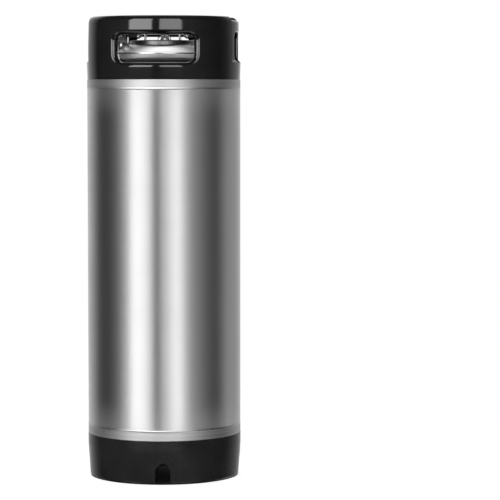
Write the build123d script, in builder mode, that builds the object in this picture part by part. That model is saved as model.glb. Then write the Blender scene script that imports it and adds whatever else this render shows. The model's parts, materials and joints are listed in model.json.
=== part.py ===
from build123d import *
import os
from math import acos, cos, degrees, hypot, pi, sin, sqrt

os.makedirs("parts", exist_ok=True)

# A soda keg: a welded steel tank in a moulded rubber collar and base boot, with an oval hatch,
# a clamped lid with a pressure relief valve, and two valve posts.
# Origin: centre of the footprint, on the floor. +Z up. The front handle faces -Y, the lid is
# longest along Y, the gas post is at -X and the liquid post at +X. Lengths are millimetres.

# ---- driving dimensions ----
HEIGHT = 647.0
BODY_R = 108.0
SHEET = 1.2
BOOT_TOP = 60.5
COLLAR_BOTTOM = 559.0
LOW_WELD_Z = 73.5
HIGH_WELD_Z = 546.5
WELD_WIDTH = 3.0
WELD_PROUD = 0.2

# Pressed heads: a recess for the rubber, a knuckle arc and a crown arc. The middle of the top
# head is pressed up by a small step.
HEAD_RECESS = 2.5
KNUCKLE_R = 33.0
TOP_TANGENT_Z = COLLAR_BOTTOM + HEAD_RECESS
TOP_HEAD_DEPTH = 54.5
BOTTOM_TANGENT_Z = BOOT_TOP - HEAD_RECESS
BOTTOM_HEAD_DEPTH = 44.5
STEP_R = 81.5
STEP_RUN = 0.5
STEP_RISE = 1.1

# Oval hatch: half sizes of the opening, along X and Y
HATCH_X = 42.5
HATCH_Y = 50.5
RIM_WALL = 5.0
RIM_TOP = 614.0
RIM_BOTTOM = 601.5
RIM_ROUND = 1.5

# Lid, which hangs inside the hatch and pulls up against the rim
LID_GAP = 1.4
LID_TOP = 610.0
LID_SHEET = 1.5
LID_WALL = 1.8
LID_ROUND = 4.0
LID_TAPER = 4.0
FLANGE_WIDTH = 6.5
FLANGE_TOP = 595.5
FLANGE_SHEET = 2.0
SEAL_GAP = 0.1
SEAL_INSET = 0.2
SEAL_WIDTH = 6.6
SEAL_ROUND = 2.2

# Posts
POST_X = 62.0
POST_R = 8.05
POST_TOP = 643.6
POST_CHAMFER = 1.4
POST_MOUTH_R = 2.5
BALL_GROOVE_Z = 624.6
BALL_GROOVE_HEIGHT = 3.7
BALL_GROOVE_DEPTH = 1.1
RING_GROOVE_Z = 636.0
RING_GROOVE_HEIGHT = 2.8
RING_GROOVE_DEPTH = 1.6
RING_CORD_R = 1.3
HEX_BOTTOM = 610.4
HEX_TOP = 619.4
HEX_ACROSS = 22.2
HEX_CHAMFER = 0.8
HEX_NOTCH_R = 1.6
NIPPLE_R = 7.2
NIPPLE_TOP = 618.6
THREAD_GAP = 0.05
BOSS_R = 10.5
BOSS_BOTTOM = 597.6
BOSS_TOP = 610.1
BOSS_CHAMFER = 1.0
POST_BORE_R = 5.4
POST_SEAT_Z = 638.2
POST_SPRING_R = 3.6
SPRING_WIRE_R = 0.35

# Dip tubes, which hang from a flange on the nipple
TUBE_R = 3.95
TUBE_WALL = 0.8
TUBE_GAP = 0.3
TUBE_FLANGE_R = 6.1
TUBE_FLANGE_BOTTOM = 620.2
TUBE_FLANGE_TOP = 621.7
TUBE_RING_R = 5.0
TUBE_RING_CORD_R = 0.8
GAS_TUBE_LENGTH = 42.0
DIP_BEND_Z = 70.0
DIP_BEND_R = 60.0
DIP_END_X = 12.0
DIP_END_Z = 20.0

# Poppets, sprung valve pins inside the posts
POPPET_HEAD_Z = 634.1
POPPET_HEAD_R = 4.7
POPPET_HEAD_HEIGHT = 2.6
POPPET_STUB_R = 2.4
POPPET_STUB_LENGTH = 3.5
POPPET_PIN_R = 1.6
POPPET_TIP_Z = 642.6
POPPET_SEAL_HEIGHT = 1.4

# Bail, the wire lever that clamps the lid
WIRE_R = 2.75
PIVOT_Y = -10.0
PIVOT_Z = 627.8
CRANK = 9.0
FOOT_R = 4.5
LEG_X = 17.0
EAR_X = 24.5
CRANK_X = 31.5
FOOT_END_X = 45.5
LOOP_Y = 46.0
LOOP_RISE = 4.0
LEG_BEND_R = 5.0
LOOP_BEND_R = 10.0
PIVOT_CLEARANCE = 0.08
FOOT_START_X = 36.2
FOOT_TIP = 1.6
FOOT_ROUND = 1.4

# Brackets, the two ears of the lid that hold the bail
EAR_SHEET = 2.0
EAR_R = 5.5
EAR_FOOT = 8.0
EAR_TAB = 8.0
EAR_TAB_ROUND = 1.5

# Pressure relief valve
PRV_Y = 14.0
VALVE_THREAD_R = 6.5
VALVE_BOSS_R = 9.5
VALVE_BOSS_HEIGHT = 5.5
VALVE_FOOT = 3.0
VALVE_SEAT_Z = 604.0
VALVE_SEAT_BORE_R = 2.3
VALVE_SEAL_R = 3.9
VALVE_SEAL_HEIGHT = 1.55
VALVE_BORE_R = 4.2
VALVE_HEX_ACROSS = 17.0
VALVE_HEX_HEIGHT = 5.0
VALVE_NECK_R = 6.6
VALVE_NECK_HEIGHT = 1.5
VALVE_VENT_R = 0.8
VALVE_STEM_R = 2.0
VALVE_HEAD_R = 3.8
VALVE_HEAD_HEIGHT = 1.5
VALVE_SPRING_R = 3.1
VALVE_CAP_R = 6.1
VALVE_CAP_ROUND = 0.8
VALVE_CAP_PLUG = 2.5
VALVE_CAP_TOP = 619.0
EYE_Z = 621.6
EYE_R = 1.15
EYE_MARGIN = 2.8
RING_R = 9.0
RING_WIRE_R = 0.8
RING_TILT = 36.0

# Rubber collar
COLLAR_R = 108.6
COLLAR_TOP_R = 107.4
COLLAR_FOOT_R = 107.6
COLLAR_INNER_R = 89.0
TOP_OUTER_ROUND = 8.0
TOP_INNER_ROUND = 6.0
HANDLE_WIDTH = 106.0
HANDLE_TOP = 620.8
SIDE_WIDTH = 48.0
SIDE_TOP = 625.5
SILL_Z = 582.5
WINDOW_LOW_ROUND = 11.0
WINDOW_HIGH_ROUND = 8.0
STRAP_HALF_ANGLE = 21.0
STRAP_TOP = 641.8
STRAP_BOTTOM = 586.0
STRAP_RAMP = 9.0
STRAP_R = 105.9
STRAP_ROUND = 4.0
CUT_MARGIN = 6.0
LIP = 6.2
SIDE_LIP = 2.2
INNER_LIP = 3.0

# Rubber boot
BOOT_R = 108.2
BOOT_FOOT_R = 105.4
BOOT_BAND = 14.0
BOOT_INNER_R = 89.0
BOOT_ROUND = 3.0
NOTCH_WIDTH = 20.0
NOTCH_HEIGHT = 28.0
NOTCH_COUNT = 4
NOTCH_ANGLE = -84.0
NOTCH_ROUND = 1.8


def finish(builder, name):
    """Labels the finished piece and writes its STEP file."""
    builder.part.label = name
    export_step(builder.part, f"parts/{name}.step")


def upright(x, y=0.0):
    """Vertical axis through a point of the floor."""
    return Axis((x, y, 0), (0, 0, 1))


# ---- tank ----
RECESS_R = BODY_R - HEAD_RECESS
KNUCKLE_X = RECESS_R - KNUCKLE_R


def atan_degrees(rise, run):
    """Angle in degrees of a line with this rise and run."""
    return Vector(1, 0).get_angle(Vector(run, rise))


def head_plane(tangent_z, upward):
    """Section plane with its origin on the tank's axis and local y pointing out of the tank."""
    normal = (0, -1, 0) if upward else (0, 1, 0)
    return Plane(origin=(0, 0, tangent_z), x_dir=(1, 0, 0), z_dir=normal)


def head_edges(depth, flange, inset, step_rise):
    """Outline of one face of a dished head, from the flange to the axis, this far inside its skin."""
    crown = (KNUCKLE_X**2 + depth**2 - KNUCKLE_R**2) / (2 * (depth - KNUCKLE_R))
    crown_y = depth - crown
    turn = atan_degrees(-crown_y, KNUCKLE_X)
    step_r = STEP_R - inset
    low_turn = degrees(acos(step_r / (crown - inset)))
    high_turn = degrees(acos((step_r - STEP_RUN) / (crown - inset + step_rise)))
    flange_line = Polyline(
        (BODY_R - inset, -flange),
        (BODY_R - inset, -HEAD_RECESS - inset / 2),
        (RECESS_R - inset, -HEAD_RECESS / 2 - inset / 2),
        (RECESS_R - inset, 0),
    )
    CenterArc((KNUCKLE_X, 0), KNUCKLE_R - inset, 0, turn)
    shoulder = CenterArc((0, crown_y), crown - inset, turn, low_turn - turn)
    middle = CenterArc((0, crown_y), crown - inset + step_rise, high_turn, 90 - high_turn)
    Line(shoulder @ 1, middle @ 0)
    return flange_line @ 0, middle @ 1


def head_section(plane, depth, flange, step_rise):
    """Half section of a dished head, one sheet thick, with its middle raised by a step."""
    with BuildSketch(plane) as section:
        with BuildLine():
            outer_start, outer_end = head_edges(depth, flange, 0, step_rise)
            inner_start, inner_end = head_edges(depth, flange, SHEET, step_rise)
            Line(outer_start, inner_start)
            Line(outer_end, inner_end)
        make_face()
    return section.sketch


with BuildPart() as tank_barrel:
    with BuildSketch(Plane.XY.offset(LOW_WELD_Z + WELD_WIDTH / 2)):
        Circle(BODY_R)
        Circle(BODY_R - SHEET, mode=Mode.SUBTRACT)
    extrude(amount=HIGH_WELD_Z - LOW_WELD_Z - WELD_WIDTH)
finish(tank_barrel, "tank_barrel")

with BuildPart() as top_dome:
    top_flange = TOP_TANGENT_Z - HIGH_WELD_Z - WELD_WIDTH / 2
    top_plane = head_plane(TOP_TANGENT_Z, True)
    revolve(head_section(top_plane, TOP_HEAD_DEPTH, top_flange, STEP_RISE), Axis.Z)
    with BuildSketch(Plane.XY.offset(TOP_TANGENT_Z)):
        Ellipse(HATCH_X + RIM_WALL, HATCH_Y + RIM_WALL)
        with Locations((-POST_X, 0), (POST_X, 0)):
            Circle(BOSS_R)
    extrude(amount=TOP_HEAD_DEPTH + CUT_MARGIN, mode=Mode.SUBTRACT)
finish(top_dome, "top_dome")

with BuildPart() as bottom_dome:
    low_flange = LOW_WELD_Z - WELD_WIDTH / 2 - BOTTOM_TANGENT_Z
    low_plane = head_plane(BOTTOM_TANGENT_Z, False)
    revolve(head_section(low_plane, BOTTOM_HEAD_DEPTH, low_flange, STEP_RISE), Axis.Z)
finish(bottom_dome, "bottom_dome")


def weld_bead(weld_z):
    """Planished ring of weld that fills the joint between two sheets."""
    low_z = weld_z - WELD_WIDTH / 2
    high_z = weld_z + WELD_WIDTH / 2
    inner_r = BODY_R - SHEET
    with BuildPart() as bead:
        with BuildSketch(Plane.XZ):
            with BuildLine():
                Polyline((BODY_R, low_z), (inner_r, low_z), (inner_r, high_z), (BODY_R, high_z))
                ThreePointArc((BODY_R, high_z), (BODY_R + WELD_PROUD, weld_z), (BODY_R, low_z))
            make_face()
        revolve(axis=Axis.Z)
    return bead


finish(weld_bead(HIGH_WELD_Z), "top_weld_bead")
finish(weld_bead(LOW_WELD_Z), "bottom_weld_bead")

with BuildPart() as hatch_rim:
    with BuildSketch(Plane.XY.offset(RIM_BOTTOM)):
        Ellipse(HATCH_X + RIM_WALL, HATCH_Y + RIM_WALL)
        Ellipse(HATCH_X, HATCH_Y, mode=Mode.SUBTRACT)
    extrude(amount=RIM_TOP - RIM_BOTTOM)
    fillet(hatch_rim.faces().sort_by(Axis.Z)[-1].edges(), RIM_ROUND)
finish(hatch_rim, "hatch_rim")


# ---- rubber collar ----
def head_contact(tangent_z, inner_r, side):
    """Where a rubber ring's bore meets the head's knuckle: the height, and the angle on the knuckle."""
    rise = sqrt(KNUCKLE_R**2 - (inner_r - KNUCKLE_X) ** 2)
    return tangent_z + side * rise, atan_degrees(rise, inner_r - KNUCKLE_X)


def window_outline(plane, width, top_z):
    """Outline of a hand opening, looking straight through it."""
    with BuildSketch(plane) as outline:
        with Locations((0, (SILL_Z + top_z) / 2)):
            Rectangle(width, top_z - SILL_Z)
        fillet(outline.vertices().group_by(Axis.Y)[0], WINDOW_LOW_ROUND)
        fillet(outline.vertices().group_by(Axis.Y)[-1], WINDOW_HIGH_ROUND)
    return outline.sketch


def strap_cutter():
    """What is taken off the wall round a side opening, leaving a lower, thinner strap."""
    outer = COLLAR_R + CUT_MARGIN
    with BuildSketch(Plane.XZ) as section:
        with BuildLine():
            Polyline(
                (COLLAR_INNER_R - CUT_MARGIN, STRAP_TOP),
                (COLLAR_INNER_R - CUT_MARGIN, HEIGHT + CUT_MARGIN),
                (outer, HEIGHT + CUT_MARGIN),
                (outer, STRAP_BOTTOM - STRAP_RAMP),
                (STRAP_R, STRAP_BOTTOM),
                (STRAP_R, STRAP_TOP),
                close=True,
            )
        make_face()
        corner = section.vertices().sort_by(lambda v: abs(v.X - STRAP_R) + abs(v.Z - STRAP_TOP))[0]
        fillet(corner, STRAP_ROUND)
    with BuildPart() as cutter:
        turned = section.sketch.rotate(Axis.Z, -STRAP_HALF_ANGLE)
        revolve(turned, Axis.Z, revolution_arc=2 * STRAP_HALF_ANGLE)
    return cutter.part


def rim_edges(builder, low_r, high_r, front):
    """Edges of the hand openings between two radii, at the front and back or at the sides."""
    half_width = (HANDLE_WIDTH if front else SIDE_WIDTH) / 2 + 0.5

    def on_rim(edge):
        middle = edge @ 0.5
        across, along = (middle.X, middle.Y) if front else (middle.Y, middle.X)
        in_opening = abs(across) < min(half_width, abs(along)) and SILL_Z - 1 < middle.Z < SIDE_TOP + 1
        return in_opening and low_r < hypot(across, along) < high_r

    return builder.edges().filter_by(on_rim)


with BuildPart() as collar:
    contact_z, contact_angle = head_contact(TOP_TANGENT_Z, COLLAR_INNER_R, 1)
    foot_z = COLLAR_BOTTOM + (BODY_R - COLLAR_FOOT_R) / 2
    shoulder_z = HEIGHT - TOP_OUTER_ROUND
    with BuildSketch(Plane.XZ):
        with BuildLine():
            under = Polyline(
                (COLLAR_FOOT_R, foot_z),
                (RECESS_R, TOP_TANGENT_Z - HEAD_RECESS / 2),
                (RECESS_R, TOP_TANGENT_Z),
            )
            seat = CenterArc((KNUCKLE_X, TOP_TANGENT_Z), KNUCKLE_R, 0, contact_angle)
            Line(seat @ 1, (COLLAR_INNER_R, HEIGHT - TOP_INNER_ROUND))
            inner_round = CenterArc(
                (COLLAR_INNER_R + TOP_INNER_ROUND, HEIGHT - TOP_INNER_ROUND), TOP_INNER_ROUND, 180, -90
            )
            Line(inner_round @ 1, (COLLAR_TOP_R - TOP_OUTER_ROUND, HEIGHT))
            outer_round = CenterArc((COLLAR_TOP_R - TOP_OUTER_ROUND, shoulder_z), TOP_OUTER_ROUND, 90, -90)
            ThreePointArc(outer_round @ 1, (COLLAR_R, (shoulder_z + foot_z) / 2), under @ 0)
        make_face()
    revolve(axis=Axis.Z)
    side_strap = strap_cutter()
    for turn in (0, 180):
        add(side_strap.rotate(Axis.Z, turn), mode=Mode.SUBTRACT)
    reach = COLLAR_R + CUT_MARGIN
    handle_window = window_outline(Plane.XZ.offset(-reach), HANDLE_WIDTH, HANDLE_TOP)
    side_window = window_outline(Plane.YZ.offset(-reach), SIDE_WIDTH, SIDE_TOP)
    extrude(handle_window, 2 * reach, mode=Mode.SUBTRACT)
    extrude(side_window, 2 * reach, mode=Mode.SUBTRACT)
    fillet(rim_edges(collar, COLLAR_TOP_R - 0.2, COLLAR_R + 0.1, True), LIP)
    fillet(rim_edges(collar, STRAP_R - 0.1, STRAP_R + 0.1, False), SIDE_LIP)
    for front in (True, False):
        fillet(rim_edges(collar, COLLAR_INNER_R - 0.1, COLLAR_INNER_R + 0.1, front), INNER_LIP)
finish(collar, "collar")

# ---- rubber boot ----
def on_notch_rim(edge):
    """True for an edge where a drain notch breaks through the boot's outer wall."""
    middle = edge @ 0.5
    upright_part = BOOT_ROUND < middle.Z < NOTCH_HEIGHT + 0.5
    return upright_part and hypot(middle.X, middle.Y) > BOOT_FOOT_R - 1


with BuildPart() as base_boot:
    contact_z, contact_angle = head_contact(BOTTOM_TANGENT_Z, BOOT_INNER_R, -1)
    with BuildSketch(Plane.XZ):
        with BuildLine():
            over = Polyline(
                (BOOT_R, BOOT_TOP),
                (BODY_R, BOOT_TOP),
                (RECESS_R, BOTTOM_TANGENT_Z + HEAD_RECESS / 2),
                (RECESS_R, BOTTOM_TANGENT_Z),
            )
            seat = CenterArc((KNUCKLE_X, BOTTOM_TANGENT_Z), KNUCKLE_R, 0, -contact_angle)
            bore = Line(seat @ 1, (BOOT_INNER_R, 0))
            sole = Line(bore @ 1, (BOOT_FOOT_R, 0))
            taper = Line(sole @ 1, (BOOT_R, BOOT_TOP - BOOT_BAND))
            Line(taper @ 1, over @ 0)
        make_face()
    revolve(axis=Axis.Z)
    fillet(base_boot.faces().sort_by(Axis.Z)[0].edges(), BOOT_ROUND)
    for index in range(NOTCH_COUNT):
        heading = (NOTCH_ANGLE + 360 * index / NOTCH_COUNT) * pi / 180
        notch_plane = Plane(
            origin=(0, 0, 0),
            x_dir=(-sin(heading), cos(heading), 0),
            z_dir=(cos(heading), sin(heading), 0),
        )
        with BuildSketch(notch_plane):
            with Locations((0, (NOTCH_HEIGHT - NOTCH_WIDTH / 2) / 2)):
                Rectangle(NOTCH_WIDTH, NOTCH_HEIGHT - NOTCH_WIDTH / 2)
            with Locations((0, NOTCH_HEIGHT - NOTCH_WIDTH / 2)):
                Circle(NOTCH_WIDTH / 2)
        extrude(amount=BOOT_R + CUT_MARGIN, mode=Mode.SUBTRACT)
    fillet(base_boot.edges().filter_by(on_notch_rim), NOTCH_ROUND)
finish(base_boot, "base_boot")


# ---- posts and tubes ----
def post_profile():
    """Outer half section of the post above its hexagon, from the bottom up, as radius and height."""
    groove_floor = POST_R - BALL_GROOVE_DEPTH
    groove_top = BALL_GROOVE_Z + BALL_GROOVE_HEIGHT
    ring_floor = POST_R - RING_GROOVE_DEPTH
    ring_top = RING_GROOVE_Z + RING_GROOVE_HEIGHT
    return [
        (POST_R, HEX_TOP),
        (POST_R, BALL_GROOVE_Z),
        (groove_floor, BALL_GROOVE_Z + BALL_GROOVE_DEPTH),
        (groove_floor, groove_top - BALL_GROOVE_DEPTH),
        (POST_R, groove_top),
        (POST_R, RING_GROOVE_Z),
        (ring_floor, RING_GROOVE_Z),
        (ring_floor, ring_top),
        (POST_R, ring_top),
        (POST_R, POST_TOP - POST_CHAMFER),
        (POST_R - POST_CHAMFER, POST_TOP),
    ]


def disc(x, y, bottom_z, top_z, radius):
    """Upright round plug between two heights, to add to a part or to bore it with."""
    with BuildPart() as plug:
        with BuildSketch(Plane.XY.offset(bottom_z)):
            with Locations((x, y)):
                Circle(radius)
        extrude(amount=top_z - bottom_z)
    return plug.part


def make_post(x, notched):
    """Valve post: a hexagon that screws onto the nipple, and a stem that takes a coupler."""
    corner_r = HEX_ACROSS / 2 / cos(pi / 6)
    with BuildPart() as post:
        with BuildSketch(Plane.XZ):
            with BuildLine():
                stem = Polyline(*[(x + r, z) for r, z in post_profile()])
                Polyline(stem @ 1, (x, POST_TOP), (x, HEX_TOP), stem @ 0)
            make_face()
        revolve(axis=upright(x))
        with BuildSketch(Plane.XY.offset(HEX_BOTTOM)):
            with Locations((x, 0)):
                RegularPolygon(HEX_ACROSS / 2, 6, major_radius=False, rotation=30)
        extrude(amount=HEX_TOP - HEX_BOTTOM)
        chamfer(post.edges().group_by(Axis.Z)[0], HEX_CHAMFER)
        nipple_bore = disc(x, 0, HEX_BOTTOM, TUBE_FLANGE_TOP + THREAD_GAP, NIPPLE_R + THREAD_GAP)
        poppet_bore = disc(x, 0, TUBE_FLANGE_TOP, POST_SEAT_Z, POST_BORE_R)
        mouth = disc(x, 0, POST_SEAT_Z, POST_TOP, POST_MOUTH_R)
        add(nipple_bore, mode=Mode.SUBTRACT)
        add(poppet_bore, mode=Mode.SUBTRACT)
        add(mouth, mode=Mode.SUBTRACT)
        if notched:
            with BuildSketch(Plane.XY.offset(HEX_BOTTOM)):
                with Locations((x, 0)):
                    with PolarLocations(corner_r, 6):
                        Circle(HEX_NOTCH_R)
            extrude(amount=HEX_TOP - HEX_BOTTOM, mode=Mode.SUBTRACT)
    return post


def make_boss(x):
    """Welded nipple: a round pad through the dome and a threaded stub with a through bore."""
    with BuildPart() as boss:
        add(disc(x, 0, BOSS_BOTTOM, BOSS_TOP, BOSS_R))
        chamfer(boss.edges().group_by(Axis.Z)[-1], BOSS_CHAMFER)
        add(disc(x, 0, BOSS_TOP, NIPPLE_TOP, NIPPLE_R))
        add(disc(x, 0, BOSS_BOTTOM, NIPPLE_TOP, TUBE_R + TUBE_GAP), mode=Mode.SUBTRACT)
    return boss


def make_ring(x, z, ring_r, cord_r):
    """Round rubber ring lying level about a post's axis."""
    with BuildPart() as ring:
        with BuildSketch(Plane.XZ):
            with Locations((x + ring_r, z)):
                Circle(cord_r)
        revolve(axis=upright(x))
    return ring


def make_poppet(x):
    """Valve pin with a wide head that carries the seal and a stub that centres the spring."""
    stub_bottom = POPPET_HEAD_Z - POPPET_STUB_LENGTH
    head_top = POPPET_HEAD_Z + POPPET_HEAD_HEIGHT
    tip_chamfer = POPPET_PIN_R / 3
    with BuildPart() as poppet:
        with BuildSketch(Plane.XZ):
            with BuildLine():
                Polyline(
                    (x, stub_bottom),
                    (x + POPPET_STUB_R - tip_chamfer, stub_bottom),
                    (x + POPPET_STUB_R, POPPET_HEAD_Z),
                    (x + POPPET_HEAD_R, POPPET_HEAD_Z),
                    (x + POPPET_HEAD_R, head_top),
                    (x + POPPET_PIN_R, head_top),
                    (x + POPPET_PIN_R, POPPET_TIP_Z - tip_chamfer),
                    (x + POPPET_PIN_R - tip_chamfer, POPPET_TIP_Z),
                    (x, POPPET_TIP_Z),
                    close=True,
                )
            make_face()
        revolve(axis=upright(x))
    return poppet


def make_poppet_seal(x):
    """Flat rubber washer on top of the poppet's head."""
    with BuildPart() as seal:
        with BuildSketch(Plane.XY.offset(POPPET_HEAD_Z + POPPET_HEAD_HEIGHT)):
            with Locations((x, 0)):
                Circle(POPPET_HEAD_R)
                Circle(POPPET_PIN_R, mode=Mode.SUBTRACT)
        extrude(amount=POPPET_SEAL_HEIGHT)
    return seal


def make_spring(x, y, bottom_z, top_z, coil_r, turns):
    """Round-wire compression spring that just clears what is below and above it."""
    inset = SPRING_WIRE_R + THREAD_GAP
    height = top_z - bottom_z - 2 * inset
    with BuildPart() as spring:
        with BuildLine():
            coil = Helix(height / turns, height, coil_r, center=(x, y, bottom_z + inset))
        with BuildSketch(Plane(origin=coil @ 0, z_dir=coil % 0)):
            Circle(SPRING_WIRE_R)
        sweep(path=coil, is_frenet=True)
    return spring


def make_tube(x, path_points, bend_radius):
    """Dip tube hanging from a flange on the nipple, along a path in the XZ plane."""
    with BuildPart() as tube:
        with BuildLine(Plane.XZ) as route:
            if bend_radius:
                FilletPolyline(*path_points, radius=bend_radius)
            else:
                Line(*path_points)
        with BuildSketch(Plane(origin=(x, 0, TUBE_FLANGE_BOTTOM), z_dir=(0, 0, -1))):
            Circle(TUBE_R)
            Circle(TUBE_R - TUBE_WALL, mode=Mode.SUBTRACT)
        sweep(path=route.wires()[0])
        with BuildSketch(Plane.XY.offset(TUBE_FLANGE_BOTTOM)):
            with Locations((x, 0)):
                Circle(TUBE_FLANGE_R)
                Circle(TUBE_R - TUBE_WALL, mode=Mode.SUBTRACT)
        extrude(amount=TUBE_FLANGE_TOP - TUBE_FLANGE_BOTTOM)
    return tube


ring_groove_middle = RING_GROOVE_Z + RING_GROOVE_HEIGHT / 2
tube_ring_z = TUBE_FLANGE_BOTTOM - TUBE_RING_CORD_R
for side, side_x in (("gas", -POST_X), ("liquid", POST_X)):
    finish(make_boss(side_x), f"{side}_post_boss")
    finish(make_post(side_x, side == "gas"), f"{side}_post")
    post_ring_r = POST_R - RING_GROOVE_DEPTH + RING_CORD_R
    finish(make_ring(side_x, ring_groove_middle, post_ring_r, RING_CORD_R), f"{side}_post_oring")
    finish(make_ring(side_x, tube_ring_z, TUBE_RING_R, TUBE_RING_CORD_R), f"{side}_tube_oring")
    finish(make_poppet(side_x), f"{side}_poppet")
    finish(make_poppet_seal(side_x), f"{side}_poppet_seal")
    spring = make_spring(side_x, 0, TUBE_FLANGE_TOP, POPPET_HEAD_Z, POST_SPRING_R, 5)
    finish(spring, f"{side}_poppet_spring")

gas_path = [(-POST_X, TUBE_FLANGE_BOTTOM), (-POST_X, TUBE_FLANGE_BOTTOM - GAS_TUBE_LENGTH)]
finish(make_tube(-POST_X, gas_path, None), "gas_tube")
dip_path = [(POST_X, TUBE_FLANGE_BOTTOM), (POST_X, DIP_BEND_Z), (DIP_END_X, DIP_END_Z)]
finish(make_tube(POST_X, dip_path, DIP_BEND_R), "liquid_dip_tube")

# ---- lid ----
LID_X = HATCH_X - LID_GAP
LID_Y = HATCH_Y - LID_GAP

with BuildPart() as lid_plate:
    flange_bottom = FLANGE_TOP - FLANGE_SHEET
    with BuildSketch(Plane.XY.offset(flange_bottom)):
        Ellipse(LID_X + FLANGE_WIDTH, LID_Y + FLANGE_WIDTH)
    extrude(amount=FLANGE_SHEET)
    with BuildSketch(Plane.XY.offset(FLANGE_TOP)):
        Ellipse(LID_X, LID_Y)
    extrude(amount=LID_TOP - FLANGE_TOP)
    fillet(lid_plate.faces().sort_by(Axis.Z)[-1].edges(), LID_ROUND)
    with BuildSketch(Plane.XY.offset(flange_bottom)):
        Ellipse(LID_X - LID_WALL, LID_Y - LID_WALL)
    extrude(amount=LID_TOP - LID_SHEET - flange_bottom, taper=LID_TAPER, mode=Mode.SUBTRACT)
    with BuildSketch(Plane.XY.offset(LID_TOP)):
        with Locations((0, PRV_Y)):
            Circle(VALVE_THREAD_R)
    extrude(amount=FLANGE_TOP - LID_TOP, mode=Mode.SUBTRACT)
finish(lid_plate, "lid_plate")

with BuildPart() as lid_oring:
    with BuildSketch(Plane.XY.offset(FLANGE_TOP)):
        Ellipse(LID_X + SEAL_INSET + SEAL_WIDTH, LID_Y + SEAL_INSET + SEAL_WIDTH)
        Ellipse(LID_X + SEAL_INSET, LID_Y + SEAL_INSET, mode=Mode.SUBTRACT)
    extrude(amount=RIM_BOTTOM - SEAL_GAP - FLANGE_TOP)
    fillet(lid_oring.edges(), SEAL_ROUND)
finish(lid_oring, "lid_oring")


def make_bracket(side):
    """Ear welded to the lid, with the hole that the bail turns in."""
    with BuildPart() as bracket:
        with BuildSketch(Plane.YZ.offset(side * EAR_X - EAR_SHEET / 2)):
            with BuildLine():
                sides = Polyline(
                    (PIVOT_Y - EAR_R, PIVOT_Z),
                    (PIVOT_Y - EAR_FOOT, LID_TOP),
                    (PIVOT_Y + EAR_FOOT, LID_TOP),
                    (PIVOT_Y + EAR_R, PIVOT_Z),
                )
                ThreePointArc(sides @ 1, (PIVOT_Y, PIVOT_Z + EAR_R), sides @ 0)
            make_face()
            with Locations((PIVOT_Y, PIVOT_Z)):
                Circle(WIRE_R + PIVOT_CLEARANCE, mode=Mode.SUBTRACT)
        extrude(amount=EAR_SHEET)
        with BuildSketch(Plane.XY.offset(LID_TOP)):
            with Locations((side * (EAR_X + EAR_TAB / 2), PIVOT_Y)):
                Rectangle(EAR_TAB, 2 * EAR_FOOT)
        extrude(amount=EAR_SHEET)
        tab_corners = bracket.edges().filter_by(Axis.Z).sort_by(lambda e: abs((e @ 0.5).X))[-2:]
        fillet(tab_corners, EAR_TAB_ROUND)
    return bracket


finish(make_bracket(-1), "bail_bracket_left")
finish(make_bracket(1), "bail_bracket_right")

with BuildPart() as bail:
    foot_axis_z = PIVOT_Z - CRANK
    crank_bend = CRANK / 2 - 0.1
    right_half = [
        (FOOT_END_X, PIVOT_Y, foot_axis_z),
        (CRANK_X, PIVOT_Y, foot_axis_z),
        (CRANK_X, PIVOT_Y, PIVOT_Z),
        (LEG_X, PIVOT_Y, PIVOT_Z),
        (LEG_X, LOOP_Y, PIVOT_Z + LOOP_RISE),
    ]
    left_half = [(-x, y, z) for x, y, z in reversed(right_half)]
    bends = [crank_bend, crank_bend, LEG_BEND_R, LOOP_BEND_R]
    with BuildLine() as bail_route:
        FilletPolyline(*right_half, *left_half, radius=bends + bends[::-1])
    with BuildSketch(Plane(origin=right_half[0], z_dir=(-1, 0, 0))):
        Circle(WIRE_R)
    sweep(path=bail_route.wires()[0])
finish(bail, "bail")


def make_foot(side):
    """Rubber sleeve on the end of the bail's wire."""
    foot_plane = Plane(origin=(side * FOOT_START_X, PIVOT_Y, PIVOT_Z - CRANK), z_dir=(side, 0, 0))
    with BuildPart() as foot:
        with BuildSketch(foot_plane):
            Circle(FOOT_R)
        extrude(amount=FOOT_END_X + FOOT_TIP - FOOT_START_X)
        fillet(foot.edges(), FOOT_ROUND)
        with BuildSketch(foot_plane):
            Circle(WIRE_R)
        extrude(amount=FOOT_END_X - FOOT_START_X, mode=Mode.SUBTRACT)
    return foot


finish(make_foot(-1), "bail_foot_left")
finish(make_foot(1), "bail_foot_right")

# ---- pressure relief valve ----
prv_axis = upright(0, PRV_Y)
prv_plane = Plane.XZ.offset(-PRV_Y)
valve_bottom = VALVE_SEAT_Z - VALVE_FOOT
hex_top = LID_TOP + VALVE_HEX_HEIGHT
neck_top = hex_top + VALVE_NECK_HEIGHT


with BuildPart() as prv_boss:
    boss_top = LID_TOP - LID_SHEET
    add(disc(0, PRV_Y, boss_top - VALVE_BOSS_HEIGHT, boss_top, VALVE_BOSS_R))
    add(disc(0, PRV_Y, boss_top - VALVE_BOSS_HEIGHT, boss_top, VALVE_THREAD_R), mode=Mode.SUBTRACT)
finish(prv_boss, "prv_boss")

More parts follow.
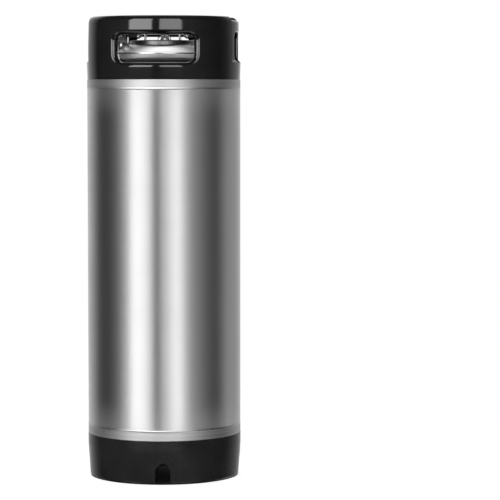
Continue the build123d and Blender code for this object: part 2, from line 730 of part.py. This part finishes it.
with BuildPart() as prv_body:
    add(disc(0, PRV_Y, valve_bottom, LID_TOP, VALVE_THREAD_R - THREAD_GAP))
    with BuildSketch(Plane.XY.offset(LID_TOP)):
        with Locations((0, PRV_Y)):
            RegularPolygon(VALVE_HEX_ACROSS / 2, 6, major_radius=False)
    extrude(amount=VALVE_HEX_HEIGHT)
    add(disc(0, PRV_Y, hex_top, neck_top, VALVE_NECK_R))
    add(disc(0, PRV_Y, valve_bottom, VALVE_SEAT_Z, VALVE_SEAT_BORE_R), mode=Mode.SUBTRACT)
    add(disc(0, PRV_Y, VALVE_SEAT_Z, neck_top, VALVE_BORE_R), mode=Mode.SUBTRACT)
    with BuildSketch(prv_plane):
        with Locations((0, LID_TOP + VALVE_HEX_HEIGHT / 2)):
            Circle(VALVE_VENT_R)
    extrude(amount=VALVE_HEX_ACROSS, both=True, mode=Mode.SUBTRACT)
finish(prv_body, "prv_body")

with BuildPart() as prv_cap:
    cap_bore = VALVE_STEM_R + 3 * THREAD_GAP
    plug_bottom = neck_top - VALVE_CAP_PLUG
    with BuildSketch(prv_plane):
        with BuildLine():
            Polyline(
                (cap_bore, plug_bottom),
                (VALVE_BORE_R, plug_bottom),
                (VALVE_BORE_R, neck_top),
                (VALVE_CAP_R, neck_top),
                (VALVE_CAP_R, VALVE_CAP_TOP - VALVE_CAP_ROUND),
                (VALVE_CAP_R - VALVE_CAP_ROUND, VALVE_CAP_TOP),
                (cap_bore, VALVE_CAP_TOP),
                close=True,
            )
        make_face()
    revolve(axis=prv_axis)
finish(prv_cap, "prv_cap")

seal_top = VALVE_SEAT_Z + THREAD_GAP + VALVE_SEAL_HEIGHT
head_top = seal_top + VALVE_HEAD_HEIGHT

with BuildPart() as prv_seal:
    add(disc(0, PRV_Y, VALVE_SEAT_Z + THREAD_GAP, seal_top, VALVE_SEAL_R))
finish(prv_seal, "prv_seal")

with BuildPart() as prv_stem:
    add(disc(0, PRV_Y, seal_top, head_top, VALVE_HEAD_R))
    add(disc(0, PRV_Y, head_top, EYE_Z + EYE_MARGIN, VALVE_STEM_R))
    chamfer(prv_stem.edges().group_by(Axis.Z)[-1], VALVE_STEM_R / 3)
    with BuildSketch(Plane.YZ):
        with Locations((PRV_Y, EYE_Z)):
            Circle(EYE_R)
    extrude(amount=2 * VALVE_STEM_R, both=True, mode=Mode.SUBTRACT)
finish(prv_stem, "prv_stem")

finish(make_spring(0, PRV_Y, head_top, plug_bottom, VALVE_SPRING_R, 4), "prv_spring")

with BuildPart() as prv_ring:
    tilt = RING_TILT * pi / 180
    ring_origin = (0, PRV_Y - RING_R * cos(tilt), EYE_Z - RING_R * sin(tilt))
    ring_axis = Axis(ring_origin, (0, -sin(tilt), cos(tilt)))
    with BuildSketch(Plane(origin=ring_origin, x_dir=(1, 0, 0), z_dir=(0, -cos(tilt), -sin(tilt)))):
        with Locations((RING_R, 0)):
            Circle(RING_WIRE_R)
    revolve(axis=ring_axis)
finish(prv_ring, "prv_ring")
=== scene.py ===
import json
import math

import bmesh
import bpy
import numpy as np
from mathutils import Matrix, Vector


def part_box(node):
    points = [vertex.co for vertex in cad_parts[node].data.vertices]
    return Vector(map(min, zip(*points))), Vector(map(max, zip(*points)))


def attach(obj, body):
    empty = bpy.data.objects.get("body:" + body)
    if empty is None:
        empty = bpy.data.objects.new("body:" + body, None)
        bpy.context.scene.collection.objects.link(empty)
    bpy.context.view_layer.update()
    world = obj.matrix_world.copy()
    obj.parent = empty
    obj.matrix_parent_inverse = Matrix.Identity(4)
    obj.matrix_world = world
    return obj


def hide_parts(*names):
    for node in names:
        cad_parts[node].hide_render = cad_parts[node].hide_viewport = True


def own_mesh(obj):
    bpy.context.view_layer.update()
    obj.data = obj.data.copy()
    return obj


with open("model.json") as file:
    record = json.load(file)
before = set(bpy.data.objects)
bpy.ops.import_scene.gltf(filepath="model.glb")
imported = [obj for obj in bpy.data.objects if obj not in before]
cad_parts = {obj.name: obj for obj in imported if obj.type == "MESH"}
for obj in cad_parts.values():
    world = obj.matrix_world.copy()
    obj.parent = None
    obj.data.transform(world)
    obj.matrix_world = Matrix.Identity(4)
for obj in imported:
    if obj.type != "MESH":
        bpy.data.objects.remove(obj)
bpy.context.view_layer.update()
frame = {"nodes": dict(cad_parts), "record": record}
nodes = frame["nodes"]
SHELL_LOW, SHELL_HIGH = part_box("tank_barrel")

# ---- camera ----
CAMERA_TURN = math.radians(7.5)
CAMERA_DISTANCE = 3.44
CAMERA_HEIGHT = 0.5465
CAMERA_LENS = 174.97
CAMERA_PAN = math.radians(2.026)
CAMERA_TILT = math.radians(3.80)
SENSOR_WIDTH = 36.0


def make_camera():
    """Camera a little below the top of the keg, turned so that the keg stands left of centre."""
    data = bpy.data.cameras.new("camera")
    data.lens = CAMERA_LENS
    data.sensor_width = SENSOR_WIDTH
    camera = bpy.data.objects.new("camera", data)
    camera.location = (
        CAMERA_DISTANCE * math.sin(CAMERA_TURN),
        -CAMERA_DISTANCE * math.cos(CAMERA_TURN),
        CAMERA_HEIGHT,
    )
    camera.rotation_euler = (math.pi / 2 - CAMERA_TILT, 0, CAMERA_TURN - CAMERA_PAN)
    bpy.context.scene.collection.objects.link(camera)
    bpy.context.scene.camera = camera


WHITE = (1.0, 1.0, 1.0)


def grey(level):
    """Colour that is the same in red, green and blue."""
    return (level, level, level)


# ---- shader trees ----
class Nodes:
    """A shader tree under construction: makes nodes, sets their values and links them."""

    def __init__(self, tree):
        self.tree = tree

    def link(self, value, socket):
        self.tree.links.new(value, socket)

    def new(self, kind, settings=None, **inputs):
        """A node. An input is given by its name, with _ for a space, or as i and its number."""
        made = self.tree.nodes.new(kind)
        for name, value in (settings or {}).items():
            setattr(made, name, value)
        for name, value in inputs.items():
            key = int(name[1:]) if name[0] == "i" and name[1:].isdigit() else name.replace("_", " ")
            socket = made.inputs[key]
            if isinstance(value, bpy.types.NodeSocket):
                self.link(value, socket)
            else:
                socket.default_value = value
        return made

    def math(self, operation, first, second=0.0):
        return self.new("ShaderNodeMath", {"operation": operation}, i0=first, i1=second).outputs[0]

    def span(self, value, low, high, to_low, to_high, smooth=False):
        kind = {"interpolation_type": "SMOOTHSTEP"} if smooth else {}
        made = self.new(
            "ShaderNodeMapRange",
            kind,
            Value=value,
            From_Min=low,
            From_Max=high,
            To_Min=to_low,
            To_Max=to_high,
        )
        return made.outputs[0]

    def window(self, value, low, high, edge):
        """One between two limits and nothing outside them, with edges of the given softness."""
        rise = self.span(value, low - edge, low + edge, 0.0, 1.0, smooth=True)
        fall = self.span(value, high - edge, high + edge, 1.0, 0.0, smooth=True)
        return self.math("MULTIPLY", rise, fall)

    def mix(self, factor, first, second):
        made = self.new("ShaderNodeMix", {"data_type": "FLOAT"}, Factor=factor, A=first, B=second)
        return made.outputs[0]

    def ramp(self, value, stops):
        """Colour from a row of (place, colour) stops."""
        made = self.new("ShaderNodeValToRGB", Fac=value)
        elements = made.color_ramp.elements
        while len(elements) < len(stops):
            elements.new(0.5)
        for element, (place, colour) in zip(elements, stops):
            element.position = place
            element.color = (*colour, 1.0)
        return made.outputs[0]


# ---- studio ----
# The studio round the keg. Bearings are in degrees from the camera's own bearing, and 180 is behind
# the keg. Walls are (bearing, brightness): one row level with the keg, and one below the horizon.
LEVEL_WALLS = (
    (-180, 1.1), (-152, 0.7), (-134, 0.4), (-118, 0.02), (-60, 0.12), (-10, 0.03), (40, 0.12),
    (92, 0.02), (108, 0.08), (124, 0.3), (150, 0.55), (180, 1.1),
)
LOW_WALLS = (
    (-180, 1.4), (-134, 1.0), (-116, 0.08), (-100, 0.2), (-84, 0.9), (-70, 1.8), (-58, 2.3),
    (-40, 0.3), (20, 0.5), (36, 2.0), (50, 1.8), (70, 0.8), (98, 0.0), (112, 0.9), (126, 3.1), (180, 1.4),
)
# A soft box is (left, right, low, high, edge, brightness), all but the last in degrees. Two stand
# beside the camera, each brighter along its foot, and two light from below the horizon.
SOFT_BOXES = (
    (-53, -18, -1, 39, 1.0, 3.0),
    (-53, -18, -1, 3.2, 0.4, 1.0),
    (-6, 27, -1, 39, 1.0, 2.2),
    (-6, 27, -1, 3.2, 0.4, 1.0),
    (-80, -34, -75, -38, 6.0, 4.8),
    (10, 44, -75, -38, 6.0, 5.5),
)
CEILING = 0.05
# Elevations between which the low walls turn into the level ones, and those into the ceiling.
WALLS_MEET = (-32.0, -20.0)
CEILING_MEETS = (25.0, 40.0)
# The lamp over the keg, behind it: brightness, elevations in degrees, and its middle and half width.
LAMP = 2.4
LAMP_LOW = 44.0
LAMP_HIGH = 57.0
LAMP_X = -0.1
LAMP_HALF_WIDTH = 0.15
LAMP_EDGE = 4.0
HALF_TURN = 180.0


def make_world():
    """White to the camera; to the keg, a dim room with soft boxes and a lamp overhead."""
    world = bpy.data.worlds.new("studio")
    world.use_nodes = True
    bpy.context.scene.world = world
    tree = Nodes(world.node_tree)
    direction = tree.new("ShaderNodeTexCoord").outputs["Generated"]
    x, y, z = tree.new("ShaderNodeSeparateXYZ", Vector=direction).outputs
    turned = tree.math("SUBTRACT", tree.math("ARCTAN2", x, tree.math("MULTIPLY", y, -1.0)), CAMERA_TURN)
    wrapped = tree.math("WRAP", turned, math.pi)
    wrapped.node.inputs[2].default_value = -math.pi
    bearing = tree.math("MULTIPLY", wrapped, HALF_TURN / math.pi)
    elevation = tree.math("MULTIPLY", tree.math("ARCSINE", z), HALF_TURN / math.pi)
    turn = tree.span(bearing, -HALF_TURN, HALF_TURN, 0.0, 1.0)
    level_wall, low_wall = (
        tree.ramp(turn, [((at + HALF_TURN) / (2 * HALF_TURN), grey(brightness)) for at, brightness in walls])
        for walls in (LEVEL_WALLS, LOW_WALLS)
    )
    up = tree.span(elevation, *WALLS_MEET, 0.0, 1.0, smooth=True)
    over = tree.span(elevation, *CEILING_MEETS, 0.0, 1.0, smooth=True)
    total = tree.mix(over, tree.mix(up, low_wall, level_wall), CEILING)
    for left, right, low, high, edge, brightness in SOFT_BOXES:
        across = tree.window(bearing, left, right, edge)
        lit = tree.math("MULTIPLY", across, tree.window(elevation, low, high, edge))
        total = tree.math("ADD", total, tree.math("MULTIPLY", lit, brightness))
    behind = tree.math("GREATER_THAN", y, 0.0)
    across = tree.window(x, LAMP_X - LAMP_HALF_WIDTH, LAMP_X + LAMP_HALF_WIDTH, LAMP_HALF_WIDTH)
    lamp = tree.math("MULTIPLY", tree.window(elevation, LAMP_LOW, LAMP_HIGH, LAMP_EDGE), across)
    lamp = tree.math("MULTIPLY", tree.math("MULTIPLY", lamp, behind), LAMP)
    total = tree.math("ADD", total, lamp)
    seen = tree.new("ShaderNodeLightPath").outputs["Is Camera Ray"]
    shown = tree.mix(seen, total, 1.0)
    background = world.node_tree.nodes["Background"]
    tree.link(shown, background.inputs["Strength"])
    background.inputs["Color"].default_value = (*WHITE, 1.0)


FLOOR_R = 2.6
FLOOR_GLOW = 0.88
FLOOR_Z = -0.0006
FLOOR_FADE = (0.35, 1.5)
FLOOR_SPECULAR = 0.1
DISC_SIDES = 192
FOOT_HEIGHT = 0.001
FOOT_R = max(
    math.hypot(vertex.co.x, vertex.co.y)
    for vertex in nodes["base_boot"].data.vertices
    if vertex.co.z < FOOT_HEIGHT
)


def make_disc(name, inner_r, outer_r):
    """Flat ring or disc on the floor, as part of the stage."""
    mesh = bmesh.new()
    bmesh.ops.create_circle(mesh, cap_ends=not inner_r, segments=DISC_SIDES, radius=outer_r)
    if inner_r:
        bmesh.ops.create_circle(mesh, cap_ends=False, segments=DISC_SIDES, radius=inner_r)
        bmesh.ops.bridge_loops(mesh, edges=mesh.edges[:])
        mesh.normal_update()
        bmesh.ops.reverse_faces(mesh, faces=[face for face in mesh.faces if face.normal.z < 0])
    data = bpy.data.meshes.new(name)
    mesh.to_mesh(data)
    mesh.free()
    disc = bpy.data.objects.new(name, data)
    disc.location = (0, 0, FLOOR_Z)
    bpy.context.scene.collection.objects.link(disc)
    return disc


def make_floor():
    """White lit floor that fades out before its edge, and a dark disc painted as the shade inside the boot's
    ring.
    """
    floor = make_disc("floor", FOOT_R, FLOOR_R)
    floor.visible_glossy = False
    material, tree, shader = new_material("pale_floor", grey(0.5), metallic=0.0, roughness=0.9)
    shader.inputs["Specular IOR Level"].default_value = FLOOR_SPECULAR
    shader.inputs["Emission Color"].default_value = (*WHITE, 1.0)
    shader.inputs["Emission Strength"].default_value = FLOOR_GLOW
    place = tree.new("ShaderNodeTexCoord").outputs["Object"]
    distance = tree.new("ShaderNodeVectorMath", {"operation": "LENGTH"}, Vector=place).outputs["Value"]
    fade = tree.span(distance, *FLOOR_FADE, 1.0, 0.0, smooth=True)
    tree.link(fade, shader.inputs["Alpha"])
    floor.data.materials.append(material)
    # Painted shade: a near-black disc under the boot, seen by every ray, so the heads reflect it as dark.
    shade_disc = make_disc("floor_in_shade", 0.0, FOOT_R)
    shaded = new_material("painted_shade_floor", grey(0.03), metallic=0.0, roughness=0.8)[0]
    shade_disc.data.materials.append(shaded)


# ---- materials ----
STREAK_SHARE = 0.6
CLOUD_SCALE = 14.0
STEEL_DETAIL = 4.0
MOTTLE_SCALE = 22.0
MOTTLE_DETAIL = 5.0
GRAIN_DETAIL = 2.0
MOTTLE_SPREAD = 0.35
RUBBER_BLACK = (0.010, 0.010, 0.0105)
# Where the noise is taken to be darkest and brightest, for colour and for gloss.
COLOUR_NOISE = (0.25, 0.75)
GLOSS_NOISE = (0.3, 0.7)
SMOOTHEST = 0.85
ROUGHEST_STEEL = 1.15
ROUGHEST_RUBBER = 1.2
STEEL_RELIEF = 0.0004
RUBBER_RELIEF = 0.0003
FINE_RELIEF = 0.0002
# The shell's brushing, the dull margins by its welds, and its seam up the back.
SHELL_ANISOTROPY = 0.97
QUARTER_TURN = 0.25
DULL_MARGIN = 0.022
DULL_METAL = 0.88
SEAM_WIDTH = 0.003
SEAM_EDGE = 0.0006
SEAM_METAL_LOSS = 0.05
SEAM_BUMP = 0.5
WELD_RIPPLES = 420
WELD_BUMP = 0.25
# The heads' flanges between rubber and weld are planished, so they are duller.
FLANGE_OVERLAP = 0.001
FLANGE_EXTRA_ROUGHNESS = 0.2
# Heights of the surface's direction between which rubber goes from painted shade, facing down and reflecting
# almost nothing, to its own gloss.
PAINTED_UNDERSIDE_SHADE = (-0.3, -0.1)
SHARP_EDGE = math.radians(28)
# Hatch parts down in the collar's well: their duller steel is darkened with painted shade.
HATCH_PARTS_IN_PAINTED_SHADE = ("hatch_rim", "lid_plate")


def new_material(name, colour, metallic, roughness):
    """Material with its tree and shader, plain until its maker adds the detail."""
    material = bpy.data.materials.new(name)
    material.use_nodes = True
    tree = Nodes(material.node_tree)
    shader = material.node_tree.nodes["Principled BSDF"]
    shader.inputs["Base Color"].default_value = (*colour, 1.0)
    shader.inputs["Metallic"].default_value = metallic
    shader.inputs["Roughness"].default_value = roughness
    return material, tree, shader


def noise(tree, place, scale, detail, stretch=(1.0, 1.0, 1.0)):
    """Noise over the object's own coordinates, in metres, stretched along an axis if asked."""
    mapped = tree.new("ShaderNodeMapping", Vector=place, Scale=stretch).outputs[0]
    return tree.new("ShaderNodeTexNoise", Vector=mapped, Scale=scale, Detail=detail).outputs[0]


def vary_colour(tree, shader, value, colour, spread):
    """Base colour that wanders either side of its own value by the spread."""
    low = tuple(c * (1 - spread) for c in colour)
    high = tuple(min(1.0, c * (1 + spread)) for c in colour)
    tree.link(tree.ramp(value, list(zip(COLOUR_NOISE, (low, high)))), shader.inputs["Base Color"])


def vary_gloss(tree, shader, value, roughness, roughest):
    """Roughness that wanders from a little under its own value to a little over it."""
    gloss = tree.span(value, *GLOSS_NOISE, roughness * SMOOTHEST, roughness * roughest)
    tree.link(gloss, shader.inputs["Roughness"])


def source(shader, name):
    """The value that already feeds one of the shader's inputs."""
    return shader.inputs[name].links[0].from_socket


def steel(name, colour, roughness, spread, streak, bump=0.02):
    """Bare steel: streaks left by the finishing, a faint clouding and a little uneven gloss.

    Returns the material, its tree and shader, and the object's coordinates.
    """
    material, tree, shader = new_material(name, colour, metallic=1.0, roughness=roughness)
    place = tree.new("ShaderNodeTexCoord").outputs["Object"]
    streaks = noise(tree, place, 1.0, STEEL_DETAIL, streak)
    clouds = noise(tree, place, CLOUD_SCALE, STEEL_DETAIL)
    mixed = tree.math(
        "ADD",
        tree.math("MULTIPLY", streaks, STREAK_SHARE),
        tree.math("MULTIPLY", clouds, 1.0 - STREAK_SHARE),
    )
    vary_colour(tree, shader, mixed, colour, spread)
    vary_gloss(tree, shader, mixed, roughness, ROUGHEST_STEEL)
    if bump:
        relief = tree.new("ShaderNodeBump", Strength=bump, Distance=STEEL_RELIEF, Height=streaks)
        tree.link(relief.outputs[0], shader.inputs["Normal"])
    return material, tree, shader, place


def brushed_shell():
    """The rolled barrel: brushed round, duller towards the welds, with its own seam up the back."""
    material, tree, shader, place = steel(
        "brushed_shell", grey(0.63), roughness=0.44, spread=0.05, streak=(5.0, 5.0, 1500.0), bump=0.03
    )
    shader.inputs["Anisotropic"].default_value = SHELL_ANISOTROPY
    shader.inputs["Anisotropic Rotation"].default_value = QUARTER_TURN
    tangent = tree.new("ShaderNodeTangent", {"direction_type": "RADIAL", "axis": "Z"})
    tree.link(tangent.outputs[0], shader.inputs["Tangent"])
    x, y, z = tree.new("ShaderNodeSeparateXYZ", Vector=place).outputs
    clear = tree.window(z, SHELL_LOW.z + DULL_MARGIN, SHELL_HIGH.z - DULL_MARGIN, DULL_MARGIN)
    behind = tree.math("GREATER_THAN", y, 0.0)
    seam = tree.math("MULTIPLY", tree.window(x, -SEAM_WIDTH / 2, SEAM_WIDTH / 2, SEAM_EDGE), behind)
    metal = tree.math(
        "SUBTRACT",
        tree.span(clear, 0.0, 1.0, DULL_METAL, 1.0),
        tree.math("MULTIPLY", seam, SEAM_METAL_LOSS),
    )
    tree.link(metal, shader.inputs["Metallic"])
    brushed = source(shader, "Normal")
    relief = tree.new(
        "ShaderNodeBump", Strength=SEAM_BUMP, Distance=FINE_RELIEF, Height=seam, Normal=brushed
    )
    tree.link(relief.outputs[0], shader.inputs["Normal"])
    return material


def weld_steel():
    """Weld bead: close ripples left by the torch as it went round."""
    material, tree, shader, place = steel(
        "weld_steel", (0.7, 0.7, 0.69), roughness=0.3, spread=0.08, streak=(160.0, 160.0, 160.0), bump=0.0
    )
    x, y, _ = tree.new("ShaderNodeSeparateXYZ", Vector=place).outputs
    ripple = tree.math("SINE", tree.math("MULTIPLY", tree.math("ARCTAN2", y, x), WELD_RIPPLES))
    relief = tree.new("ShaderNodeBump", Strength=WELD_BUMP, Distance=FINE_RELIEF, Height=ripple)
    tree.link(relief.outputs[0], shader.inputs["Normal"])
    return material


def pressed_steel():
    """The heads and lid fittings: glossy, except on the flanges."""
    material, tree, shader, place = steel(
        "pressed_steel", grey(0.7), roughness=0.26, spread=0.17, streak=(4.0, 4.0, 430.0), bump=0.12
    )
    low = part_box("base_boot")[1].z - FLANGE_OVERLAP
    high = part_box("collar")[0].z + FLANGE_OVERLAP
    height = tree.new("ShaderNodeSeparateXYZ", Vector=place).outputs["Z"]
    flanges = tree.window(height, low, high, FLANGE_OVERLAP)
    extra = tree.math("MULTIPLY", flanges, FLANGE_EXTRA_ROUGHNESS)
    dulled = tree.math("ADD", source(shader, "Roughness"), extra)
    tree.link(dulled, shader.inputs["Roughness"])
    return material


def rubber(name, colour, roughness, grain, bump, ior=1.5):
    """Moulded rubber: fine grain, a soft mottling, slightly uneven gloss, and painted shade on faces turned
    down.
    """
    material, tree, shader = new_material(name, colour, metallic=0.0, roughness=roughness)
    shader.inputs["IOR"].default_value = ior
    place = tree.new("ShaderNodeTexCoord").outputs["Object"]
    fine = noise(tree, place, grain, GRAIN_DETAIL)
    broad = noise(tree, place, MOTTLE_SCALE, MOTTLE_DETAIL)
    vary_colour(tree, shader, broad, colour, MOTTLE_SPREAD)
    vary_gloss(tree, shader, broad, roughness, ROUGHEST_RUBBER)
    relief = tree.new("ShaderNodeBump", Strength=bump, Distance=RUBBER_RELIEF, Height=fine)
    tree.link(relief.outputs[0], shader.inputs["Normal"])
    # Painted shade: faces turned down become metallic with the black base colour, so they reflect almost
    # nothing.
    facing = tree.new("ShaderNodeSeparateXYZ", Vector=tree.new("ShaderNodeNewGeometry").outputs["Normal"])
    under = tree.span(facing.outputs["Z"], *PAINTED_UNDERSIDE_SHADE, 1.0, 0.0)
    tree.link(under, shader.inputs["Metallic"])
    return material


def make_materials():
    """One finish for each of the record's slots, and a duller, darker one for the hatch, its darkness
    painted shade.
    """
    # Painted shade: a darker, duller copy of the pressed steel for the hatch parts inside the collar's well.
    hatch, *_ = steel(
        "hatch_steel_painted_shade", grey(0.36), roughness=0.4, spread=0.12, streak=(30.0, 30.0, 900.0), bump=0.05
    )
    turned, *_ = steel(
        "turned_steel", (0.68, 0.68, 0.69), roughness=0.22, spread=0.05, streak=(90.0, 90.0, 2500.0)
    )
    wire, *_ = steel("wire_steel", grey(0.66), roughness=0.24, spread=0.06, streak=(400.0, 400.0, 400.0))
    collar = rubber("collar_rubber", RUBBER_BLACK, roughness=0.09, grain=900.0, bump=0.03, ior=1.8)
    boot = rubber("boot_rubber", RUBBER_BLACK, roughness=0.25, grain=900.0, bump=0.05, ior=1.45)
    return {
        "brushed_shell": brushed_shell(),
        "weld_steel": weld_steel(),
        "pressed_steel": pressed_steel(),
        "hatch_steel_painted_shade": hatch,
        "turned_steel": turned,
        "wire_steel": wire,
        "collar_rubber": collar,
        "boot_rubber": boot,
        "foot_rubber": rubber("foot_rubber", grey(0.014), roughness=0.38, grain=1400.0, bump=0.2),
        "seal_rubber": rubber("seal_rubber", grey(0.018), roughness=0.45, grain=1200.0, bump=0.15),
    }


def dress_nodes(materials):
    """Every carried-over CAD node takes the finish of its slot, and the hatch its duller one, darkened with
    painted shade.
    """
    slots = {part["node"]: part["material_slot"] for part in frame["record"]["subparts"]}
    for name, node in nodes.items():
        # The hatch parts take the steel darkened with painted shade.
        finish = "hatch_steel_painted_shade" if name in HATCH_PARTS_IN_PAINTED_SHADE else slots[name]
        node.data.materials.clear()
        node.data.materials.append(materials[finish])
        node.data.shade_smooth()
        node.data.set_sharp_from_angle(angle=SHARP_EDGE)


# ---- pieces ----
RING_WIRE_R = 0.00052
RING_TURNS = 2
RING_STEPS_OVER = 6
SPRING_WIRE_R = 0.00035
SPRING_END = 0.75
SPRING_END_RISE = 1.2 * SPRING_WIRE_R
# node, the body it rides on, the joint that shortens it, its turns, and whether its top is fixed
SPRINGS = (
    ("gas_poppet_spring", "keg", "gas_poppet_press", 5, False),
    ("liquid_poppet_spring", "keg", "liquid_poppet_press", 5, False),
    ("prv_spring", "lid", "prv_lift", 4, True),
)
COIL_STEPS = 72
COIL_SIDES = 10
COIL_SHARP_EDGE = math.radians(60)


def ring_frame(node):
    """Middle, mean radius, two in-plane directions and the normal of a ring, from its own mesh."""
    points = np.array([vertex.co[:] for vertex in node.data.vertices])
    middle = (points.min(axis=0) + points.max(axis=0)) / 2
    axes = [Vector(row) for row in np.linalg.svd(points - middle, full_matrices=False)[2]]
    radius = float(np.linalg.norm(points - middle, axis=1).mean())
    return Vector(middle), radius, axes


def coiled_wire(name, middle, axes, radius, wire_r, turns, lift, finish):
    """Round wire wound about an axis, where lift gives the height at each share of its length."""
    across, along, normal = axes
    steps = turns * COIL_STEPS
    centres = []
    for step in range(steps + 1):
        angle = math.tau * turns * step / steps
        outward = across * math.cos(angle) + along * math.sin(angle)
        centres.append((middle + outward * radius + normal * lift(step / steps), outward))
    mesh = bmesh.new()
    rows = []
    for step, (centre, outward) in enumerate(centres):
        before = centres[max(step - 1, 0)][0]
        after = centres[min(step + 1, steps)][0]
        upward = (after - before).normalized().cross(outward)
        row = []
        for side in range(COIL_SIDES):
            turn = math.tau * side / COIL_SIDES
            offset = outward * math.cos(turn) + upward * math.sin(turn)
            row.append(mesh.verts.new(centre + offset * wire_r))
        rows.append(row)
    for low, high in zip(rows, rows[1:]):
        for side in range(COIL_SIDES):
            beside = (side + 1) % COIL_SIDES
            mesh.faces.new((low[side], low[beside], high[beside], high[side]))
    mesh.faces.new(rows[0][::-1])
    mesh.faces.new(rows[-1])
    bmesh.ops.recalc_face_normals(mesh, faces=mesh.faces[:])
    data = bpy.data.meshes.new(name)
    mesh.to_mesh(data)
    mesh.free()
    data.materials.append(finish)
    data.shade_smooth()
    data.set_sharp_from_angle(angle=COIL_SHARP_EDGE)
    piece = bpy.data.objects.new(name, data)
    bpy.context.scene.collection.objects.link(piece)
    return piece


def make_key_ring(finish):
    """Split ring of two flat turns, one stepping over to the other half way round."""
    middle, radius, axes = ring_frame(nodes["prv_ring"])

    def lift(share):
        return 2 * RING_WIRE_R * max(-0.5, min(0.5, (share - 0.5) * RING_STEPS_OVER))

    ring = coiled_wire("relief_valve_key_ring", middle, axes, radius, RING_WIRE_R, RING_TURNS, lift, finish)
    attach(ring, "prv_ring")
    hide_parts("prv_ring")


def make_spring(node_name, body, joint, turns, fixed_at_top, finish):
    """Compression spring with closed ends, in place of its node, riding on its body."""
    low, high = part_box(node_name)
    radius = (high.x - low.x) / 2 - SPRING_WIRE_R
    length = high.z - low.z
    rise = length - 2 * SPRING_WIRE_R
    end_share = SPRING_END / turns

    def lift(share):
        first = min(1.0, share / end_share)
        last = max(0.0, (share - 1.0 + end_share) / end_share)
        open_turns = max(0.0, min(1.0, (share - end_share) / (1.0 - 2 * end_share)))
        open_rise = rise - 2 * SPRING_END_RISE
        return SPRING_END_RISE * (first + last) + open_rise * open_turns - rise / 2

    axes = (Vector((1, 0, 0)), Vector((0, 1, 0)), Vector((0, 0, 1)))
    name = f"{node_name}_coil"
    spring = coiled_wire(name, (low + high) / 2, axes, radius, SPRING_WIRE_R, turns, lift, finish)
    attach(spring, body)
    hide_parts(node_name)
    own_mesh(spring)


make_camera()
make_world()
make_floor()
materials = make_materials()
dress_nodes(materials)

make_key_ring(materials["wire_steel"])
for spring in SPRINGS:
    make_spring(*spring, materials["wire_steel"])

bpy.context.scene.view_settings.view_transform = "Standard"
